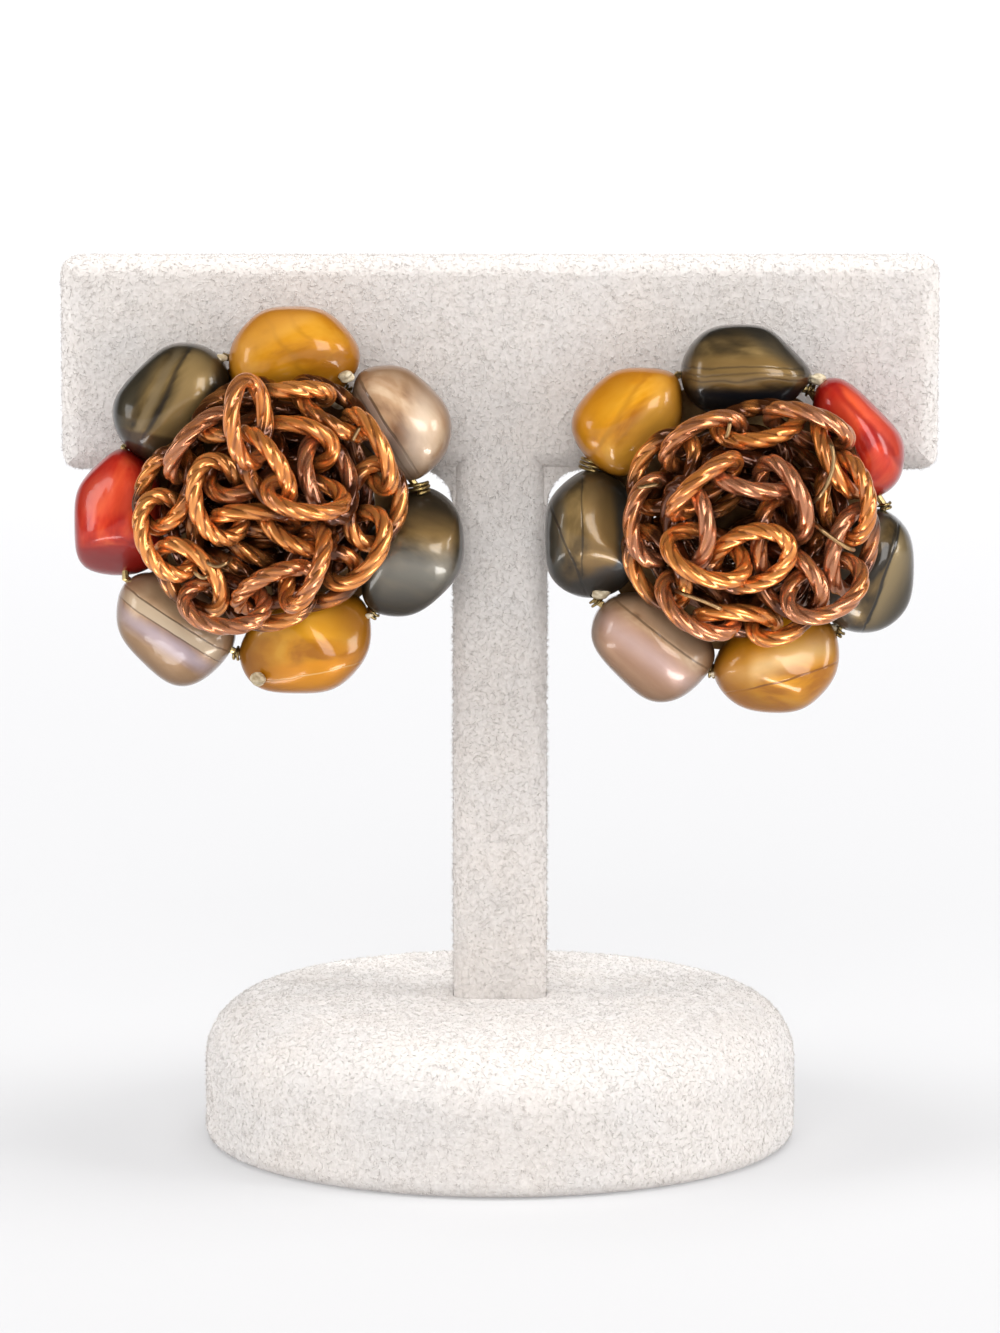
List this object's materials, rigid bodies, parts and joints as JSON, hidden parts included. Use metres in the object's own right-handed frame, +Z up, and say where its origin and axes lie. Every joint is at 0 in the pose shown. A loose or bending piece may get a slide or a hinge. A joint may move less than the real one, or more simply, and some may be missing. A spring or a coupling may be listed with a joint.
{
  "type": "clip-on earrings on a T-bar display stand",
  "caption": "Pair of cluster clip-on earrings, pebble beads ringed round a bunched chain of twisted copper links, shown on a velvet-covered T-bar stand.",
  "frame": {"origin": "middle of the underside of the stand's round base", "axes": "+Z up, the earrings face -Y, +X to the right seen from the front"},
  "size_m": [0.088, 0.06, 0.0899],
  "materials": {
    "velvet": "short pale grey-beige flock, matt, with fine speckle",
    "bead_mustard": "polished mustard resin with darker swirls and a pearly sheen",
    "bead_taupe": "polished taupe resin with cream stripe, brown seams and lavender sheen",
    "bead_olive": "polished dark olive resin with bronze bands and grey pearl",
    "bead_red": "polished coral red resin, darker at the seam",
    "copper": "bright twisted copper wire with brown tarnish in the grooves and on the tops",
    "brass": "dull brass"
  },
  "bodies": {
    "root": {"stand_base": "velvet", "stand_t_board": "velvet", "left_clip_back": "brass", "left_bead_wire": "brass", "left_chain": "copper", "left_bead_1": "bead_mustard", "left_bead_2": "bead_taupe", "left_bead_3": "bead_olive", "left_bead_4": "bead_mustard", "left_bead_5": "bead_taupe", "left_bead_6": "bead_red", "left_bead_7": "bead_olive", "right_clip_back": "brass", "right_bead_wire": "brass", "right_chain": "copper", "right_bead_1": "bead_olive", "right_bead_2": "bead_red", "right_bead_3": "bead_olive", "right_bead_4": "bead_mustard", "right_bead_5": "bead_taupe", "right_bead_6": "bead_olive", "right_bead_7": "bead_mustard"}
  },
  "joints": []
}
